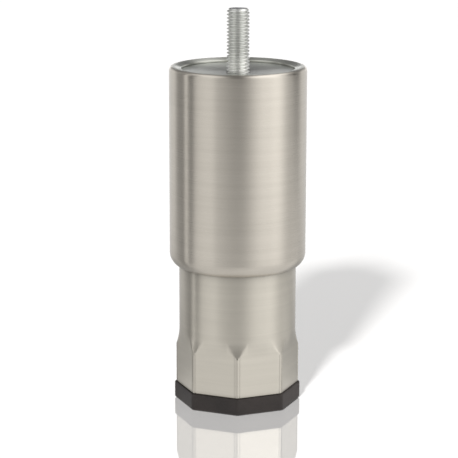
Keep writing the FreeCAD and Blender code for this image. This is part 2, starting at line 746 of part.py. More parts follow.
def make_pad_sleeves():
    """Short steel tubes round the screws, from the heads to the base plate."""
    body = disc(
        "one_pad_sleeve", HEAD_TOP, half("sleeve_pipe_dia"), PIPE_LENGTH,
        f"({half('screw_dia')} + sizes.fit_gap)",
    )
    doc.recompute()
    return make_group("pad_sleeves", body, SCREW_COUNT, size(SCREW_X))


def make_carrier_pins():
    """Radial pins through the tube into the carrier, kept in by the guide ring."""
    pin = doc.addObject("Part::Cylinder", "one_carrier_pin")
    pin.setExpression("Radius", half("pin_dia"))
    pin.setExpression("Height", "sizes.pin_length")
    pin.Placement.Rotation = Rotation(Vector(0, 1, 0), 90)
    pin.setExpression("Placement.Base.z", f"({FLANGE_Z} - sizes.pin_below)")
    doc.recompute()
    reach = f"({NECK_R} - sizes.pin_sunk - sizes.pin_length)"
    return make_group("carrier_pins", pin, PIN_COUNT, size(reach))


def make_all():
    washer_hole = f"({STUD_R} + sizes.stud_hole_gap)"
    spindle_hole = f"({SPINDLE_R} + sizes.bore_gap)"
    return [
        make_outer_sleeve(),
        make_top_plate(),
        disc("backing_washer", BACKING_Z, BACKING_R, "sizes.backing_thick", washer_hole),
        make_adjusting_spindle(),
        disc("stop_washer", STOP_Z, half("stop_dia"), "sizes.stop_thick", spindle_hole),
        make_stop_nut(),
        make_stop_nut_collar(),
        make_mouth_bush(),
        make_wiper_ring(),
        make_guide_ring(),
        make_retaining_ring(),
        make_foot_shell(),
        make_nut_carrier(),
        make_foot_nut(),
        make_carrier_pins(),
        make_base_plate(),
        make_base_pad(),
        make_pad_sleeves(),
        make_pad_screws(),
    ]


pieces = make_all()
doc.recompute()
for item in doc.Objects:
    if {"Invalid", "Error"} & set(item.State):
        raise RuntimeError(f"{item.Name} failed: {item.State}")
for piece in pieces:
    if piece.Shape.isNull() or not piece.Shape.isValid():
        raise RuntimeError(f"{piece.Label} has no sound shape")

os.makedirs("parts", exist_ok=True)
for piece in pieces:
    piece.Shape.exportStep(f"parts/{piece.Label}.step")
    print(piece.Label, len(piece.Shape.Solids), round(piece.Shape.Volume, 1), piece.Shape.BoundBox)
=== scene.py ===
import math
import bmesh
import bpy
import numpy as np
from mathutils import Matrix, Vector


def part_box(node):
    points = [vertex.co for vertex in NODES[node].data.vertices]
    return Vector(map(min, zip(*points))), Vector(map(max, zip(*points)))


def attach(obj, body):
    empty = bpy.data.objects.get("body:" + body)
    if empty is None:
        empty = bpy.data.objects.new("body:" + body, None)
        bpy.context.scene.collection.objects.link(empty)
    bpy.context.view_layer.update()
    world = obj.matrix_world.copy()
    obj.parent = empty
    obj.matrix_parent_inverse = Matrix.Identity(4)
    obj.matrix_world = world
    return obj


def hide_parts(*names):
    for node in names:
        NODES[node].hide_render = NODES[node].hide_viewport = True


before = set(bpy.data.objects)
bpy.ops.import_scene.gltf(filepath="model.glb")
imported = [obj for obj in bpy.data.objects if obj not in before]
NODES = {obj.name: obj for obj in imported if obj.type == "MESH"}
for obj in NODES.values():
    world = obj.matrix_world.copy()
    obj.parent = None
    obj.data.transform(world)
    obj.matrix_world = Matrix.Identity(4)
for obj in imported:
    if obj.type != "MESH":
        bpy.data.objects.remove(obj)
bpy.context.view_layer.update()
MM = 0.001

# Where the CAD parts lie, in metres
SLEEVE_LOW, SLEEVE_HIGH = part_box("outer_sleeve")
SHELL_LOW, SHELL_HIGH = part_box("foot_shell")
SPINDLE_LOW, SPINDLE_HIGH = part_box("adjusting_spindle")
COLLAR_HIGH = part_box("backing_washer")[0]
PLATE_LOW, PLATE_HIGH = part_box("top_plate")
SNAP_LOW, SNAP_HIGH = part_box("retaining_ring")
PAD_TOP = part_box("base_pad")[1].z

# Sleeve: its tube, the drawn-in mouth and the lip rolled over the plate
SLEEVE_R = SLEEVE_HIGH.x
SLEEVE_WALL = 1.0 * MM
MOUTH_BEND = 6.4 * MM
MOUTH_GAP = 0.3 * MM
RIM_ROUND = 1.6 * MM
RIM_LAND = 1.0 * MM
RIM_SOFT = 0.4 * MM
LIP_WIDTH = 5.5 * MM
LIP_DROP = 0.8 * MM
LIP_EDGE = 0.4 * MM
SHEARED_EDGE = 0.18 * MM

# Plate: it is dished from just inside the lip down to the stud's hole
PLATE_HOLE_R = 5.2 * MM
PLATE_EDGE = 0.25 * MM
DISH_START_R = SLEEVE_R - LIP_WIDTH - 1.2 * MM
DISH_DEPTH = 0.8 * MM
DISH_CURVE = 1.15
DISH_STEPS = 12
FLAT_BEFORE_DISH = 0.6 * MM

# Foot: a tube formed into an octagon, with the groove of its retaining ring
SIDES = 8
NECK_R = SLEEVE_R - SLEEVE_WALL - 3.15 * MM
FOOT_WALL = 1.5 * MM
FOOT_EDGE = 0.3 * MM
FLAT_PRESS = 0.6 * MM
CORNER_ROUND = 1.2 * MM
LEAST_CORNER_ROUND = 0.3 * MM
OCTAGON_TOP = PAD_TOP + 17.6 * MM
BLEND_HEIGHT = 7.6 * MM
BLEND_SOFT = 0.45 * MM
CORNER_FADING = 1.8
FLAT_RUN_OUT = 1.0 * MM
FORM_BELOW = 1.2 * MM
FORM_ABOVE = 1.8 * MM
FORM_STEP = 0.2 * MM
RING_ABOVE_END = 2.0 * MM
RING_BELOW_TOP = 9.0 * MM
TUBE_START = 1.0 * MM
TUBE_RINGS = 30
SNAP_DEPTH = 0.6 * MM
SNAP_PLAY = 0.05 * MM

# Spindle: the stud above its collar and the adjusting screw below it
STUD_R = 5.0 * MM
STUD_PITCH = 1.5 * MM
STUD_CHAMFER = 1.0 * MM
STUD_NECK_R = STUD_R - 0.6 * STUD_PITCH
STUD_NECK = 2.0 * MM
SCREW_R = 8.0 * MM
SCREW_PITCH = 2.0 * MM
SCREW_CHAMFER = 1.2 * MM
SCREW_NECK_R = SCREW_R - 1.2 * MM
SCREW_NECK = 1.0 * MM
COLLAR_R = SPINDLE_HIGH.x
COLLAR_THICK = 3.0 * MM
COLLAR_BEVEL = 0.4 * MM
END_FACE = 0.02 * MM
THREAD_DEPTH = 0.613
THREAD_FORM = (
    # place on the turn and depth under the crest, both as shares of the pitch
    (0.0, 0.02),
    (0.07, 0.0),
    (0.14, 0.02),
    (0.22, 0.12),
    (0.32, THREAD_DEPTH / 2),
    (0.43, THREAD_DEPTH - 0.08),
    (0.51, THREAD_DEPTH - 0.01),
    (0.57, THREAD_DEPTH),
    (0.63, THREAD_DEPTH - 0.01),
    (0.71, THREAD_DEPTH - 0.08),
    (0.82, THREAD_DEPTH / 2),
    (0.92, 0.12),
)

# Steps of one turn about the axis, and the distance at which points are welded
SLEEVE_STEPS = 288
PLATE_STEPS = 192
FOOT_STEPS = SIDES * 48
THREAD_STEPS = 96
WELD = 0.0001 * MM

# Where a finish, a painted shade or a painted light changes: distances from the axis, and heights over the
# floor
PLATE_PAINTED_SHADE_R = (9.0 * MM, 21.0 * MM)
LIP_BRUSHED_R = (27.9 * MM, 28.9 * MM)
LIP_BRUSHED_Z = (140.0 * MM, 130.0 * MM)
STUD_ROOT_PAINTED_LIGHT_Z = (149.0 * MM, 159.0 * MM)

# Textures: the span that most of a noise lies in, and how far they change roughness and relief
NOISE_SPAN = (0.3, 0.7)
LINE_ROUGHNESS = 0.04
MARK_ROUGHNESS = 0.08
PATCH_ROUGHNESS = 0.15
STIPPLE_ROUGHNESS = 0.06
STEEL_RELIEF = 0.01 * MM

# The photograph's camera, fitted to the outline of the leg
CAMERA_PLACE = Vector((0.0, -846.6, 270.4)) * MM
CAMERA_DOWN = math.radians(12.84)
CAMERA_LEFT = math.radians(0.258)
CAMERA_ROLL = math.radians(0.09)
CAMERA_LENS = 154.47
CAMERA_SENSOR = 36.0
CAMERA_CLIP = (0.01, 50.0)

# Studio as the steel sees it. Angles are in degrees round the leg, 0 towards the camera and positive to its
# right. A rise is the upward part of a line of sight, 0 when level and 1 when upright; X is its part to the
# right and Y its part to the back. A pair of numbers is where a change starts and where it is complete.
STUDIO_BASE = 0.24
SOFT_BOXES = (
    # centre, half width and soft edge in degrees, brightness over the base
    (58.0, 32.0, 46.0, 1.0),
    (69.0, 11.0, 16.0, 0.2),
    (112.0, 9.5, 14.0, -0.14),
    (-58.0, 19.0, 12.0, 0.33),
    (-47.0, 27.0, 44.0, 0.34),
    (-104.0, 24.0, 10.0, 0.06),
    (-96.4, 3.6, 3.4, 0.72),
    (-84.5, 5.0, 6.0, -0.24),
    (-152.0, 14.0, 12.0, -0.05),
    (180.0, 54.0, 18.0, 0.57),
)
BOX_TOP_RISE = (-0.12, 0.2)
BOX_TOP_GAIN = 1.1
DARK_GAP = 0.2
DARK_GAPS = (
    # angles to either side and rises over which a gap between the boxes opens
    ((148.0, 170.0), (0.11, 0.2)),
    ((116.0, 142.0), (0.28, 0.42)),
)
GAP_END_RISE = (0.5, 0.9)
BACK_STRIP = 1.35
STRIP_ANGLE = (150.0, 166.0)
STRIP_LOW_RISE = (-0.08, 0.0)
STRIP_HIGH_RISE = (0.1, 0.16)
OVERHEAD_RISE = (0.55, 0.8)
OVERHEAD_BASE = 0.22
OVERHEAD_LEFT = 1.05
OVERHEAD_LEFT_X = (-0.45, -0.12)
OVERHEAD_LEFT_Y = (0.2, 0.5)
OVERHEAD_RIGHT = 1.6
OVERHEAD_RIGHT_X = (0.04, 0.42)
DIFFUSE_SHARE = 0.12
MIRRORED_BY_TABLE = 1.0
BACKGROUND = 1.05

# Table as the steel sees it, a painted reflection that emits light for glossy rays only, by the same angles
# and by the distance from the leg in metres
TABLE_SHEETS = (
    # angles and distances over which a sheet begins, distances over which it thins out, its share by the leg
    ((-95.0, -70.0), None, (0.22, 0.78), 0.95),
    ((-106.0, -84.0), (0.28, 0.46), (0.22, 0.78), 0.95),
    ((86.0, 102.0), None, (0.6, 0.95), 0.88),
    ((-100.0, -118.0), None, (0.2, 0.45), 0.8),
)
TABLE_TONE = 0.85
TABLE_RIGHT_GAIN = 1.25
TABLE_RIGHT_ANGLE = (88.0, 104.0)
TABLE_BACK_GAIN = 0.66
TABLE_BACK_ANGLE = (112.0, 132.0)
LEG_SHADES = (
    # angles over which the leg's own shade on the table begins, how dark it is by the leg
    ((96.0, 112.0), 0.44),
    ((-96.0, -112.0), 0.52),
)
LEG_SHADE_REACH = (0.05, 0.32)
TABLE_PATCHES = (
    # centre, inner and outer half width in degrees, near and far distance, change of tone at each
    (14.0, 10.0, 32.0, 0.12, 0.3, 0.14, 0.0),
    (14.0, 10.0, 32.0, 0.06, 0.12, -0.12, 0.0),
    (110.0, 6.0, 13.0, 0.48, 0.62, 0.1, -0.18),
    (130.0, 8.0, 16.0, 0.3, 0.62, -0.09, 0.2),
)
TABLE_HALF_WIDTH = 6.0
TABLE_BELOW_SOLE = 0.2 * MM


def place_camera():
    data = bpy.data.cameras.new("photo_camera")
    data.lens = CAMERA_LENS
    data.sensor_width = CAMERA_SENSOR
    data.clip_start, data.clip_end = CAMERA_CLIP
    camera = bpy.data.objects.new("photo_camera", data)
    camera.location = CAMERA_PLACE
    aim = Matrix.Rotation(CAMERA_LEFT, 3, "Z") @ Matrix.Rotation(math.pi / 2 - CAMERA_DOWN, 3, "X")
    camera.rotation_euler = (aim @ Matrix.Rotation(CAMERA_ROLL, 3, "Z")).to_euler()
    bpy.context.scene.collection.objects.link(camera)
    bpy.context.scene.camera = camera


class Tree:
    """Short way to write a node tree: add a node with its inputs, numbers or other nodes' outputs."""

    def __init__(self, tree):
        self.nodes = tree.nodes
        self.links = tree.links

    def add(self, kind, inputs=None, **settings):
        node = self.nodes.new(kind)
        for name, value in settings.items():
            setattr(node, name, value)
        for name, value in (inputs or {}).items():
            socket = node.inputs[name]
            if isinstance(value, bpy.types.NodeSocket):
                self.links.new(value, socket)
            else:
                socket.default_value = value
        return node

    def math(self, operation, *values):
        return self.add("ShaderNodeMath", dict(enumerate(values)), operation=operation).outputs[0]

    def product(self, first, *others):
        for other in others:
            first = self.math("MULTIPLY", first, other)
        return first

    def ramp(self, value, low, high, to_low=0.0, to_high=1.0, smooth=False):
        node = self.add(
            "ShaderNodeMapRange",
            {"Value": value, "From Min": low, "From Max": high, "To Min": to_low, "To Max": to_high},
            interpolation_type="SMOOTHSTEP" if smooth else "LINEAR",
        )
        return node.outputs["Result"]

    def stretched(self, vector, scale):
        return self.add("ShaderNodeMapping", {"Vector": vector, "Scale": scale}).outputs["Vector"]

    def noise(self, vector, scale, detail=2.0, roughness=0.5):
        inputs = {"Vector": vector, "Scale": scale, "Detail": detail, "Roughness": roughness}
        return self.add("ShaderNodeTexNoise", inputs).outputs["Fac"]

    def blend(self, factor, first, second):
        inputs = {"Factor": factor, 6: first, 7: second}
        return self.add("ShaderNodeMix", inputs, data_type="RGBA").outputs[2]

    def grouped(self, group, values):
        """Outputs of a shader node group, placed with its own values."""
        return self.add("ShaderNodeGroup", values, node_tree=group).outputs

    def relief(self, height, strength, distance):
        """Normal of a surface with a bump of this height."""
        inputs = {"Strength": strength, "Distance": distance, "Height": height}
        return self.add("ShaderNodeBump", inputs).outputs["Normal"]


def new_group(name, inputs, outputs):
    """Shader node group with named sockets: number inputs with a default, and outputs by type."""
    group = bpy.data.node_groups.new(name, "ShaderNodeTree")
    for label, default in inputs.items():
        socket = group.interface.new_socket(name=label, in_out="INPUT", socket_type="NodeSocketFloat")
        socket.default_value = default
    for label, kind in outputs.items():
        group.interface.new_socket(name=label, in_out="OUTPUT", socket_type=kind)
    tree = Tree(group)
    entry = tree.add("NodeGroupInput").outputs
    leave = tree.add("NodeGroupOutput").inputs
    return group, tree, entry, leave


def brushing_group():
    """Fine lines and broader bands that a belt leaves round the leg, from 0 to 1, and their height."""
    group, tree, entry, leave = new_group(
        "belt_brushing",
        {"Line Density": 9000.0, "Line Length": 40.0, "Band Density": 500.0},
        {"Lines": "NodeSocketFloat", "Bands": "NodeSocketFloat", "Height": "NodeSocketFloat"},
    )
    place = tree.add("ShaderNodeTexCoord").outputs["Object"]

    def streaks(density, length, detail):
        scale = tree.add("ShaderNodeCombineXYZ", {"X": length, "Y": length, "Z": density}).outputs[0]
        return tree.noise(tree.stretched(place, scale), 1.0, detail)

    lines = streaks(entry["Line Density"], entry["Line Length"], 3.0)
    bands = streaks(entry["Band Density"], tree.product(entry["Line Length"], 0.35), 2.0)
    height = tree.math("ADD", tree.product(lines, 0.7), tree.product(bands, 0.3))
    tree.links.new(tree.ramp(lines, *NOISE_SPAN), leave["Lines"])
    tree.links.new(tree.ramp(bands, *NOISE_SPAN), leave["Bands"])
    tree.links.new(height, leave["Height"])
    return group


def smudge_group():
    """Soft cloudy patches, as handling leaves on steel."""
    group, tree, entry, leave = new_group(
        "handling_marks", {"Patch Scale": 45.0, "Strength": 0.5}, {"Mask": "NodeSocketFloat"}
    )
    place = tree.add("ShaderNodeTexCoord").outputs["Object"]
    broad = tree.noise(place, entry["Patch Scale"], detail=4.0, roughness=0.6)
    fine = tree.noise(place, tree.product(entry["Patch Scale"], 9.0))
    mask = tree.product(tree.ramp(broad, 0.45, 0.75, smooth=True), tree.ramp(fine, 0.25, 0.7))
    tree.links.new(tree.product(mask, entry["Strength"]), leave["Mask"])
    return group


def grain_group():
    """Fine stipple of moulded rubber and plastic, with a cloudy mask of its tone."""
    group, tree, entry, leave = new_group(
        "moulded_grain", {"Grain": 2600.0}, {"Mask": "NodeSocketFloat", "Height": "NodeSocketFloat"}
    )
    place = tree.add("ShaderNodeTexCoord").outputs["Object"]
    pits = tree.noise(place, entry["Grain"], roughness=0.6)
    cloud = tree.noise(place, tree.product(entry["Grain"], 0.05), detail=3.0)
    tree.links.new(tree.ramp(cloud, *NOISE_SPAN), leave["Mask"])
    tree.links.new(pits, leave["Height"])
    return group


def edge_group():
    """Mask of the outer edges, from how sharply the surface turns."""
    group, tree, entry, leave = new_group("edge_polish", {"Reach": 0.56}, {"Mask": "NodeSocketFloat"})
    point = tree.add("ShaderNodeNewGeometry").outputs["Pointiness"]
    tree.links.new(tree.ramp(point, entry["Reach"], 0.75, smooth=True), leave["Mask"])
    return group


def painted_corner_shade_group():
    """Painted shade where another piece stands close, darker in corners: 1 in the open."""
    group, tree, entry, leave = new_group(
        "painted_crevice_shading", {"Reach": 0.006, "Darkest": 0.7}, {"Shade": "NodeSocketFloat"}
    )
    nearby = tree.add("ShaderNodeAmbientOcclusion", {"Distance": entry["Reach"]}, samples=12)
    tree.links.new(tree.ramp(nearby.outputs["AO"], 0.35, 0.97, entry["Darkest"], 1.0), leave["Shade"])
    return group


BRUSHING = brushing_group()
SMUDGES = smudge_group()
GRAIN = grain_group()
EDGES = edge_group()
PAINTED_CORNER_SHADE = painted_corner_shade_group()


def new_material(name):
    material = bpy.data.materials.new(name)
    material.use_nodes = True
    tree = Tree(material.node_tree)
    tree.nodes.clear()
    shader = tree.add("ShaderNodeBsdfPrincipled")
    out = tree.add("ShaderNodeOutputMaterial")
    tree.links.new(shader.outputs["BSDF"], out.inputs["Surface"])
    return material, tree, shader.inputs


def axis_and_height(tree):
    """Distance from the leg's axis and height over the floor."""
    place = tree.add("ShaderNodeTexCoord").outputs["Object"]
    level = tree.add("ShaderNodeVectorMath", {0: place, 1: (1, 1, 0)}, operation="MULTIPLY").outputs[0]
    radius = tree.add("ShaderNodeVectorMath", {0: level}, operation="LENGTH").outputs["Value"]
    return radius, tree.add("ShaderNodeSeparateXYZ", {0: place}).outputs["Z"]


def brushed_steel(
    name, light, dark, rough=0.3, stretch=0.92, corner_reach=6.0 * MM, corner_dark=0.7, middle=1.0, lip=None
):
    """Stainless steel brushed round the leg, so that its highlights draw out along the leg.

    Painted shade darkens its corners and may darken a plate's middle; the lip that a roller has burnished is
    cooler."""
    material, tree, shader = new_material(name)
    brush = tree.grouped(BRUSHING, {"Line Density": 9000.0})
    marks = tree.grouped(SMUDGES, {"Strength": 0.5})["Mask"]
    # painted shade: base colour darkened where other pieces stand close
    shade = tree.grouped(PAINTED_CORNER_SHADE, {"Reach": corner_reach, "Darkest": corner_dark})["Shade"]
    tone = tree.product(tree.math("ADD", brush["Lines"], brush["Bands"]), 0.5)
    colour = tree.blend(tone, dark, light)
    if middle < 1.0 or lip:
        radius, height = axis_and_height(tree)
    # painted shade: the plate painted darker towards its middle
    if middle < 1.0:
        shade = tree.product(shade, tree.ramp(radius, *PLATE_PAINTED_SHADE_R, middle, 1.0, smooth=True))
    if lip:
        brushed = tree.math("MAXIMUM", tree.ramp(radius, *LIP_BRUSHED_R), tree.ramp(height, *LIP_BRUSHED_Z))
        colour = tree.blend(brushed, lip, colour)
    tree.links.new(tree.blend(shade, (0, 0, 0, 1), colour), shader["Base Color"])
    shader["Metallic"].default_value = 1.0
    lined = tree.ramp(brush["Lines"], 0.0, 1.0, rough - LINE_ROUGHNESS, rough + LINE_ROUGHNESS)
    tree.links.new(tree.math("ADD", lined, tree.product(marks, MARK_ROUGHNESS)), shader["Roughness"])
    shader["Anisotropic"].default_value = stretch
    shader["Anisotropic Rotation"].default_value = 0.25
    tangent = tree.add("ShaderNodeTangent", direction_type="RADIAL", axis="Z").outputs[0]
    tree.links.new(tangent, shader["Tangent"])
    tree.links.new(tree.relief(brush["Height"], strength=0.25, distance=STEEL_RELIEF), shader["Normal"])
    return material


def plated_steel(name, light, dark, rough, root=None):
    """Zinc plated or oiled steel without a direction to its finish. A stud may be painted lighter at its
    root, as painted light.
    """
    material, tree, shader = new_material(name)
    marks = tree.grouped(SMUDGES, {"Patch Scale": 160.0, "Strength": 1.0})["Mask"]
    edges = tree.grouped(EDGES, {"Reach": 0.53})["Mask"]
    tone = tree.math("MAXIMUM", tree.math("SUBTRACT", 1.0, marks), edges)
    colour = tree.blend(tone, dark, light)
    # painted light: the stud's root painted lighter
    if root:
        height = axis_and_height(tree)[1]
        colour = tree.blend(tree.ramp(height, *STUD_ROOT_PAINTED_LIGHT_Z, smooth=True), root, colour)
    tree.links.new(colour, shader["Base Color"])
    shader["Metallic"].default_value = 1.0
    tree.links.new(tree.ramp(marks, 0.0, 1.0, rough, rough + PATCH_ROUGHNESS), shader["Roughness"])
    grain = tree.grouped(GRAIN, {"Grain": 5200.0})["Height"]
    tree.links.new(tree.relief(grain, strength=0.05, distance=STEEL_RELIEF), shader["Normal"])
    return material


def moulded(name, light, dark, rough, relief, grain=2600.0, edge_tone=0.0):
    """Moulded rubber or nylon with a fine stipple and paler rubbed edges."""
    material, tree, shader = new_material(name)
    stipple = tree.grouped(GRAIN, {"Grain": grain})
    edges = tree.grouped(EDGES, {"Reach": 0.55})["Mask"]
    tone = tree.math("ADD", stipple["Mask"], tree.product(edges, edge_tone))
    tree.links.new(tree.blend(tone, dark, light), shader["Base Color"])
    clouded = tree.ramp(stipple["Mask"], 0.0, 1.0, rough - STIPPLE_ROUGHNESS, rough + STIPPLE_ROUGHNESS)
    tree.links.new(clouded, shader["Roughness"])
    tree.links.new(tree.relief(stipple["Height"], strength=0.5, distance=relief), shader["Normal"])
    return material


# corner_reach and corner_dark set each steel's painted shade in corners; middle sets a plate's painted
# darker middle
SLEEVE_STEEL = brushed_steel(
    "brushed_sleeve_steel",
    light=(0.66, 0.615, 0.545, 1),
    dark=(0.59, 0.55, 0.485, 1),
    lip=(0.6, 0.605, 0.555, 1),
)
FOOT_STEEL = brushed_steel(
    "brushed_foot_steel",
    light=(0.67, 0.63, 0.554, 1),
    dark=(0.6, 0.565, 0.494, 1),
    rough=0.34,
    corner_reach=9.0 * MM,
    corner_dark=0.25,
)
PLATE_STEEL = brushed_steel(
    "turned_plate_steel",
    light=(0.92, 0.93, 0.885, 1),
    dark=(0.79, 0.8, 0.765, 1),
    rough=0.32,
    stretch=0.6,
    corner_reach=12.0 * MM,
    corner_dark=0.64,
    middle=0.66,
)
ZINC = plated_steel("zinc_plated_steel", (0.78, 0.79, 0.76, 1), (0.64, 0.65, 0.625, 1), 0.36)
STUD_ZINC = plated_steel(
    "zinc_plated_stud", (0.77, 0.775, 0.745, 1), (0.63, 0.635, 0.61, 1), 0.36, root=(0.96, 0.96, 0.93, 1)
)
PLAIN_STEEL = plated_steel("turned_steel", (0.46, 0.46, 0.47, 1), (0.3, 0.3, 0.3, 1), 0.35)
SPRING_STEEL = plated_steel("oiled_spring_steel", (0.24, 0.23, 0.22, 1), (0.1, 0.1, 0.1, 1), 0.3)
PAD_RUBBER = moulded(
    "hard_black_rubber",
    light=(0.074, 0.06, 0.054, 1),
    dark=(0.026, 0.02, 0.018, 1),
    rough=0.6,
    relief=0.18 * MM,
    grain=900.0,
    edge_tone=0.3,
)
SEAL_RUBBER = moulded("seal_rubber_black", (0.02, 0.02, 0.02, 1), (0.012, 0.012, 0.012, 1), 0.4, 0.02 * MM)
WHITE_NYLON = moulded("natural_nylon", (0.8, 0.78, 0.72, 1), (0.7, 0.68, 0.62, 1), 0.45, 0.03 * MM)
BLACK_NYLON = moulded(
    "black_nylon_moulded", (0.03, 0.03, 0.03, 1), (0.018, 0.018, 0.018, 1), 0.42, 0.03 * MM
)

# Parts that keep their CAD shape
FINISHES = {
    "backing_washer": PLAIN_STEEL,
    "stop_washer": ZINC,
    "stop_nut": ZINC,
    "stop_nut_collar": WHITE_NYLON,
    "mouth_bush": BLACK_NYLON,
    "wiper_ring": SEAL_RUBBER,
    "guide_ring": WHITE_NYLON,
    "retaining_ring": SPRING_STEEL,
    "nut_carrier": PLAIN_STEEL,
    "foot_nut": ZINC,
    "carrier_pins": SPRING_STEEL,
    "base_plate": PLAIN_STEEL,
    "base_pad": PAD_RUBBER,
    "pad_sleeves": ZINC,
    "pad_screws": ZINC,
}


def finish_node(name, material):
    node = NODES[name]
    node.data.materials.clear()
    node.data.materials.append(material)


def arc(centre, radius, start, end, steps):
    """Points of an arc in the half section, by angles in degrees."""
    points = []
    for step in range(steps + 1):
        angle = math.radians(start + (end - start) * step / steps)
        points.append((centre[0] + radius * math.cos(angle), centre[1] + radius * math.sin(angle)))
    return points


def softened(corner, before, after, radius, steps=3):
    """A corner of the half section, rounded by a short curve between its two sides."""
    corner, before, after = (Vector(point) for point in (corner, before, after))
    start = corner + (before - corner).normalized() * radius
    end = corner + (after - corner).normalized() * radius
    points = []
    for step in range(steps + 1):
        along = step / steps
        points.append(tuple(start.lerp(corner, along).lerp(corner.lerp(end, along), along)))
    return points


def divided(start, end, steps):
    """Points between two corners of a half section, without the corners."""
    return [tuple(Vector(start).lerp(Vector(end), step / steps)) for step in range(1, steps)]


def mesh_object(name, points, faces, material, body):
    mesh = bpy.data.meshes.new(name)
    mesh.from_pydata([tuple(point) for point in points], [], faces)
    shape = bmesh.new()
    shape.from_mesh(mesh)
    bmesh.ops.remove_doubles(shape, verts=shape.verts, dist=WELD)
    bmesh.ops.dissolve_degenerate(shape, edges=shape.edges, dist=WELD)
    bmesh.ops.recalc_face_normals(shape, faces=shape.faces)
    shape.to_mesh(mesh)
    shape.free()
    mesh.materials.append(material)
    piece = bpy.data.objects.new(name, mesh)
    bpy.context.scene.collection.objects.link(piece)
    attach(piece, body)
    return piece


def smooth_shade(piece, angle):
    """Smooth faces with crisp edges where the surface turns by more than the angle, in degrees."""
    mesh = piece.data
    mesh.polygons.foreach_set("use_smooth", [True] * len(mesh.polygons))
    mesh.set_sharp_from_angle(angle=math.radians(angle))


def full_turn(steps):
    """Angles of one turn, both ends included: the seam is welded, one pitch higher on a thread."""
    return np.linspace(0.0, 2 * math.pi, steps + 1)


def ring(turn, radius, height):
    """Points round the axis. The radius and the height may change with the angle."""
    radius = np.broadcast_to(radius, turn.shape)
    height = np.broadcast_to(height, turn.shape)
    return np.stack([radius * np.cos(turn), radius * np.sin(turn), height], axis=1)


def rings_to_mesh(name, rings, material, body):
    """Skin over rings of points, each joined to the next."""
    count = len(rings[0])
    points = np.concatenate(rings)
    faces = []
    for low in range(0, len(points) - count, count):
        for step in range(low, low + count - 1):
            faces.append((step, step + 1, step + count + 1, step + count))
    return mesh_object(name, points, faces, material, body)


def lathe(name, section, material, body, steps):
    """Closed half section turned about the leg's axis."""
    turn = full_turn(steps)
    rings = [ring(turn, radius, height) for radius, height in section]
    return rings_to_mesh(name, rings + rings[:1], material, body)


def make_sleeve():
    """Brushed tube with its drawn-in mouth and the lip rolled over the top plate."""
    mouth_z = SLEEVE_LOW.z
    rim_z = SLEEVE_HIGH.z
    curve_r = SLEEVE_R - MOUTH_BEND
    inner_bend = MOUTH_BEND - SLEEVE_WALL
    sweep = math.acos((NECK_R + MOUTH_GAP - curve_r) / inner_bend)
    curve_z = mouth_z + MOUTH_BEND * math.sin(sweep)
    mouth = math.degrees(-sweep)
    outer_curve = arc((curve_r, curve_z), MOUTH_BEND, mouth, 0, steps=18)
    inner_curve = arc((curve_r, curve_z), inner_bend, 0, mouth, steps=18)
    corner = (SLEEVE_R - RIM_ROUND, rim_z - RIM_ROUND)
    outer_corner = arc(corner, RIM_ROUND, 0, 90, steps=10)
    inner_corner = arc(corner, RIM_ROUND - SLEEVE_WALL, 90, 0, steps=6)
    land = (SLEEVE_R - RIM_ROUND - RIM_LAND, rim_z)
    edge = (SLEEVE_R - LIP_WIDTH, rim_z - LIP_DROP)
    slope = (Vector(edge) - Vector(land)).normalized()
    under = tuple(Vector(edge) + Vector((-slope.y, slope.x)) * SLEEVE_WALL)
    kink = (land[0] + SLEEVE_WALL * math.tan(math.atan2(-slope.y, -slope.x) / 2), rim_z - SLEEVE_WALL)
    section = softened(outer_curve[0], inner_curve[-1], outer_curve[1], SHEARED_EDGE)
    section += outer_curve[1:]
    section += divided(outer_curve[-1], outer_corner[0], steps=24)
    section += outer_corner
    section += softened(land, outer_corner[-1], edge, RIM_SOFT, steps=4)
    section += softened(edge, land, under, LIP_EDGE)
    section += softened(under, edge, kink, SHEARED_EDGE)
    section += [kink]
    section += inner_corner
    section += inner_curve[:-1]
    section += softened(inner_curve[-1], inner_curve[-2], outer_curve[0], SHEARED_EDGE)
    skin = lathe("sleeve_tube", section, SLEEVE_STEEL, "sleeve", SLEEVE_STEPS)
    smooth_shade(skin, angle=40)
    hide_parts("outer_sleeve")


def make_plate():
    """Pressed top plate: its rim tucks under the lip, and the collar has drawn its middle into a dish."""
    low = PLATE_LOW.z
    high = PLATE_HIGH.z
    rim_r = PLATE_HIGH.x
    section = [(PLATE_HOLE_R, low), (rim_r - PLATE_EDGE, low), (rim_r, low + PLATE_EDGE)]
    section += [(rim_r, high - PLATE_EDGE), (rim_r - PLATE_EDGE, high)]
    section += [(DISH_START_R + FLAT_BEFORE_DISH, high)]
    dish_width = DISH_START_R - PLATE_HOLE_R - PLATE_EDGE
    for step in range(1, DISH_STEPS + 1):
        inward = step / DISH_STEPS
        section.append((DISH_START_R - dish_width * inward, high - DISH_DEPTH * inward ** DISH_CURVE))
    section.append((PLATE_HOLE_R, section[-1][1] - PLATE_EDGE))
    skin = lathe("pressed_plate", section + section[:1], PLATE_STEEL, "sleeve", PLATE_STEPS)
    smooth_shade(skin, angle=30)
    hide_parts("top_plate")


def octagon_radius(turn, flat_r, rounding):
    """Distance from the axis to a rounded octagon, one corner towards the camera."""
    step = 2 * math.pi / SIDES
    beside = np.abs((turn + math.pi / 2 + step / 2) % step - step / 2)
    reach = (flat_r - rounding) / math.cos(step / 2)
    flat = flat_r / np.cos(step / 2 - beside)
    inside = np.sqrt(np.maximum(rounding ** 2 - (reach * np.sin(beside)) ** 2, 0.0))
    corner = reach * np.cos(beside) + inside
    on_corner = corner * np.cos(step / 2 - beside) < flat_r
    on_corner &= inside > 0
    return np.where(on_corner, np.minimum(corner, flat), flat)


def share_of_way(value, low, high):
    return min(max((value - low) / (high - low), 0.0), 1.0)


def soft_minimum(values, limit, width):
    """The lower of the values and the limit, with a rounded change from one to the other."""
    share = np.clip(0.5 + 0.5 * (limit - values) / max(width, 1e-9), 0.0, 1.0)
    return limit + (values - limit) * share - width * share * (1 - share)


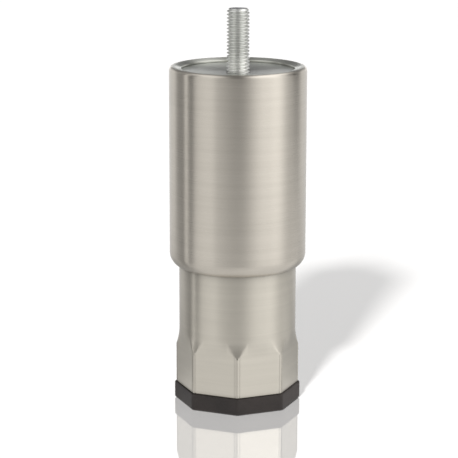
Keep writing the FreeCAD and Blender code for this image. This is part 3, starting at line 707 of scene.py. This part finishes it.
def shell_ring(turn, height, inset):
    """Ring of the foot tube: octagon below and round above, each corner fading along its own cone."""
    tube = NECK_R - inset
    rounding = max(CORNER_ROUND - inset, LEAST_CORNER_ROUND)
    shift = octagon_radius(turn, NECK_R - FLAT_PRESS - inset, rounding) - tube
    corner_left = (1 - share_of_way(height, OCTAGON_TOP, OCTAGON_TOP + BLEND_HEIGHT)) ** CORNER_FADING
    limit = float(np.max(shift)) * corner_left
    out = soft_minimum(np.maximum(shift, 0.0), limit, min(BLEND_SOFT * (1 - corner_left), limit))
    along = share_of_way(height, OCTAGON_TOP, OCTAGON_TOP + BLEND_HEIGHT + FLAT_RUN_OUT)
    flat_left = 1 - along * along * (3 - 2 * along)
    return ring(turn, tube + out + np.minimum(shift, 0.0) * flat_left, height)


def make_foot_tube():
    """Drawn tube formed into an octagon at its lower end, with the groove of the retaining ring."""
    low = SHELL_LOW.z
    high = SHELL_HIGH.z
    form_low = OCTAGON_TOP - FORM_BELOW
    forming = np.arange(form_low, OCTAGON_TOP + BLEND_HEIGHT + FORM_ABOVE, FORM_STEP)
    groove_low = SNAP_LOW.z - SNAP_PLAY
    groove_high = SNAP_HIGH.z + SNAP_PLAY
    outside = [low + FOOT_EDGE, low + RING_ABOVE_END, OCTAGON_TOP - RING_BELOW_TOP, *forming]
    outside += list(np.linspace(forming[-1] + TUBE_START, groove_low, TUBE_RINGS))
    inside = [height for height in reversed(outside) if form_low < height < SNAP_LOW.z]
    stations = [(low, FOOT_EDGE), (low + FOOT_EDGE * 0.3, FOOT_EDGE * 0.3)]
    stations += [(height, 0.0) for height in outside]
    stations += [(groove_low, SNAP_DEPTH), (groove_high, SNAP_DEPTH), (groove_high, 0.0), (high, 0.0)]
    stations += [(high, FOOT_WALL)]
    stations += [(height, FOOT_WALL) for height in inside[::3]]
    stations += [(low, FOOT_WALL)]
    turn = full_turn(FOOT_STEPS)
    rings = [shell_ring(turn, height, inset) for height, inset in stations]
    skin = rings_to_mesh("foot_tube", rings + rings[:1], FOOT_STEEL, "foot")
    smooth_shade(skin, angle=16)
    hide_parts("foot_shell")


def thread_rings(turn, crest_r, pitch, low, high, chamfer_low=0.0, chamfer_high=0.0):
    """Rings that climb one pitch in each turn and lie flat where the thread runs out."""
    root_r = crest_r - THREAD_DEPTH * pitch
    rings = []
    for turns in range(-1, math.ceil((high - low) / pitch) + 1):
        for place, depth in THREAD_FORM:
            height = low + pitch * (turns + place + turn / (2 * math.pi))
            inside = np.clip(height, low, high)
            taper = np.maximum(chamfer_low - (inside - low), chamfer_high - (high - inside))
            width = np.minimum(crest_r - depth * pitch, crest_r - np.maximum(taper, 0.0))
            width = np.where(height == inside, width, np.minimum(width, root_r))
            rings.append(ring(turn, width, inside))
    return rings


def make_spindle():
    """Turned bar with its rolled threads: stud above, collar under the washer, adjusting screw below."""
    turn = full_turn(THREAD_STEPS)
    bottom = SPINDLE_LOW.z
    top = SPINDLE_HIGH.z
    collar_top = COLLAR_HIGH.z
    collar_low = collar_top - COLLAR_THICK
    rings = [ring(turn, 0.0, bottom)]
    rings += thread_rings(turn, SCREW_R, SCREW_PITCH, bottom, collar_low - SCREW_NECK, SCREW_CHAMFER)
    turned = (
        (SCREW_NECK_R, collar_low),
        (COLLAR_R - COLLAR_BEVEL, collar_low),
        (COLLAR_R, collar_low + COLLAR_BEVEL),
        (COLLAR_R, collar_top - COLLAR_BEVEL),
        (COLLAR_R - COLLAR_BEVEL, collar_top),
        (STUD_NECK_R, collar_top),
    )
    rings += [ring(turn, radius, height) for radius, height in turned]
    rings += thread_rings(turn, STUD_R, STUD_PITCH, collar_top + STUD_NECK, top, 0.0, STUD_CHAMFER)
    rings += [ring(turn, 0.0, top)]
    skin = rings_to_mesh("spindle_and_stud", rings, STUD_ZINC, "sleeve")
    smooth_shade(skin, angle=50)
    skin.data.materials.append(PLAIN_STEEL)
    for face in skin.data.polygons:
        if face.center.z > top - END_FACE:
            face.material_index = 1
    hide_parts("adjusting_spindle")


def compass(tree, vector):
    """Angle round the leg in degrees, and the three parts of a direction or place."""
    parts = tree.add("ShaderNodeSeparateXYZ", {0: vector}).outputs
    angle = tree.math("ARCTAN2", parts["X"], tree.math("MULTIPLY", parts["Y"], -1.0))
    return tree.math("MULTIPLY", angle, 180 / math.pi), parts


def soft_boxes(tree, around):
    """Brightness of the soft boxes in a circle round the leg."""
    seen = STUDIO_BASE
    for centre, half_width, feather, brightness in SOFT_BOXES:
        turned = tree.math("WRAP", tree.math("SUBTRACT", around, centre), 180.0, -180.0)
        edge = (half_width - feather / 2, half_width + feather / 2)
        box = tree.ramp(tree.math("ABSOLUTE", turned), *edge, brightness, 0.0, smooth=True)
        seen = tree.math("ADD", seen, box)
    return seen


def light_studio():
    """Pale studio: boxes round and over the leg for the steel, plain white behind it and in the table."""
    world = bpy.data.worlds.new("soft_studio")
    bpy.context.scene.world = world
    world.use_nodes = True
    tree = Tree(world.node_tree)
    tree.nodes.clear()
    around, ray = compass(tree, tree.add("ShaderNodeTexCoord").outputs["Generated"])
    rise = ray["Z"]
    sideways = tree.math("ABSOLUTE", around)
    seen = tree.product(soft_boxes(tree, around), tree.ramp(rise, *BOX_TOP_RISE, 1.0, BOX_TOP_GAIN))
    gap = 0.0
    for angles, rises in DARK_GAPS:
        opening = tree.ramp(sideways, *angles, smooth=True)
        gap = tree.math("MAXIMUM", tree.product(opening, tree.ramp(rise, *rises, smooth=True)), gap)
    gap = tree.product(gap, tree.ramp(rise, *GAP_END_RISE, 1.0, 0.0, smooth=True))
    left = tree.product(
        tree.ramp(ray["X"], *OVERHEAD_LEFT_X, OVERHEAD_LEFT, 0.0, smooth=True),
        tree.ramp(ray["Y"], *OVERHEAD_LEFT_Y, 1.0, 0.0, smooth=True),
    )
    right = tree.ramp(ray["X"], *OVERHEAD_RIGHT_X, 0.0, OVERHEAD_RIGHT, smooth=True)
    overhead = tree.math("ADD", tree.math("ADD", left, right), OVERHEAD_BASE)
    strip = tree.product(
        tree.ramp(rise, *STRIP_LOW_RISE),
        tree.ramp(rise, *STRIP_HIGH_RISE, 1.0, 0.0),
        tree.ramp(sideways, *STRIP_ANGLE, smooth=True),
    )
    path = tree.add("ShaderNodeLightPath").outputs
    layers = (
        (strip, BACK_STRIP),
        (gap, DARK_GAP),
        (tree.ramp(rise, *OVERHEAD_RISE, smooth=True), overhead),
        (path["Is Diffuse Ray"], tree.product(seen, DIFFUSE_SHARE)),
        (path["Is Singular Ray"], MIRRORED_BY_TABLE),
        (path["Is Camera Ray"], BACKGROUND),
    )
    for share, strength in layers:
        seen = tree.add("ShaderNodeMix", {0: share, 2: seen, 3: strength}).outputs[0]
    light = tree.add("ShaderNodeBackground", {"Color": seen, "Strength": 1.0}).outputs[0]
    tree.links.new(light, tree.add("ShaderNodeOutputWorld").inputs["Surface"])


def shadow_light(azimuth, elevation, width, strength, receivers):
    """Distant lamp that lights the table alone, so that the leg's soft shadow falls behind it."""
    data = bpy.data.lights.new("shadow_lamp", "SUN")
    data.energy = strength
    data.angle = math.radians(width)
    lamp = bpy.data.objects.new("shadow_lamp", data)
    lamp.visible_glossy = False
    turn = math.radians(azimuth)
    climb = math.radians(elevation)
    away = Vector((math.sin(turn) * math.cos(climb), -math.cos(turn) * math.cos(climb), math.sin(climb)))
    lamp.location = away
    lamp.rotation_euler = (-away).to_track_quat("-Z", "Y").to_euler()
    bpy.context.scene.collection.objects.link(lamp)
    lit = bpy.data.collections.new("lit_by_shadow_lamp")
    for receiver in receivers:
        lit.objects.link(receiver)
    lamp.light_linking.receiver_collection = lit


def table_sheet(tree, around, reach):
    """How much of the table's painted reflection the steel sees: soft white sheets that thin out away from
    the leg.
    """
    sheet = 0.0
    for angles, begins, thins, share in TABLE_SHEETS:
        layer = tree.product(tree.ramp(around, *angles, smooth=True), tree.ramp(reach, *thins, share, 0.0))
        if begins:
            layer = tree.product(layer, tree.ramp(reach, *begins))
        sheet = tree.math("MAXIMUM", layer, sheet)
    return sheet


def table_tone(tree, around, reach):
    """Brightness of those painted sheets: duller behind the leg and in its painted shade, with a few soft
    patches.
    """
    tone = tree.ramp(around, *TABLE_RIGHT_ANGLE, TABLE_TONE, TABLE_TONE * TABLE_RIGHT_GAIN)
    sideways = tree.math("ABSOLUTE", around)
    tone = tree.product(tone, tree.ramp(sideways, *TABLE_BACK_ANGLE, 1.0, TABLE_BACK_GAIN, smooth=True))
    near = tree.ramp(reach, *LEG_SHADE_REACH, 1.0, 0.0, smooth=True)
    for angles, darkness in LEG_SHADES:
        shade = tree.product(tree.ramp(around, *angles, 0.0, darkness), near)
        tone = tree.product(tone, tree.math("SUBTRACT", 1.0, shade))
    for centre, inner, outer, near, far, near_gain, far_gain in TABLE_PATCHES:
        beside = tree.math("ABSOLUTE", tree.math("SUBTRACT", around, centre))
        gain = tree.ramp(reach, near, far, near_gain, far_gain)
        gain = tree.product(gain, tree.ramp(beside, inner, outer, 1.0, 0.0))
        tone = tree.product(tone, tree.math("ADD", gain, 1.0))
    return tone


def make_floor():
    """Plain pale polished table. For glossy rays it emits painted sheets, painted shade and patches instead,
    a painted reflection.
    """
    material, tree, shader = new_material("pale_table")
    place = tree.add("ShaderNodeTexCoord").outputs["Object"]
    cloud = tree.noise(place, 3.0)
    tree.links.new(tree.blend(cloud, (0.83, 0.82, 0.812, 1), (0.84, 0.83, 0.822, 1)), shader["Base Color"])
    shader["Metallic"].default_value = 0.6
    shader["Roughness"].default_value = 0.0
    around = compass(tree, place)[0]
    reach = tree.add("ShaderNodeVectorMath", {0: place}, operation="LENGTH").outputs["Value"]
    clear = tree.add("ShaderNodeBsdfTransparent").outputs[0]
    # painted reflection: the table emits light for glossy rays only
    painted_reflection = tree.add("ShaderNodeEmission", {"Color": table_tone(tree, around, reach)}).outputs[0]
    sheet = table_sheet(tree, around, reach)
    for_steel = tree.add("ShaderNodeMixShader", {0: sheet, 1: clear, 2: painted_reflection}).outputs[0]
    glossy = tree.add("ShaderNodeLightPath").outputs["Is Glossy Ray"]
    surface = material.node_tree.get_output_node("ALL").inputs["Surface"]
    plain = surface.links[0].from_socket
    both = tree.add("ShaderNodeMixShader", {0: glossy, 1: plain, 2: for_steel}).outputs[0]
    tree.links.new(both, surface)
    mesh = bpy.data.meshes.new("table_top")
    far = TABLE_HALF_WIDTH
    mesh.from_pydata([(-far, -far, 0), (far, -far, 0), (far, far, 0), (-far, far, 0)], [], [(0, 1, 2, 3)])
    mesh.materials.append(material)
    floor = bpy.data.objects.new("table_top", mesh)
    floor.location.z = -TABLE_BELOW_SOLE
    bpy.context.scene.collection.objects.link(floor)
    return floor


place_camera()
light_studio()
shadow_light(azimuth=-16.0, elevation=33.0, width=5.5, strength=8.7, receivers=[make_floor()])
for node_name, node_finish in FINISHES.items():
    finish_node(node_name, node_finish)
make_sleeve()
make_foot_tube()
make_spindle()
make_plate()
bpy.context.scene.view_settings.view_transform = "Standard"
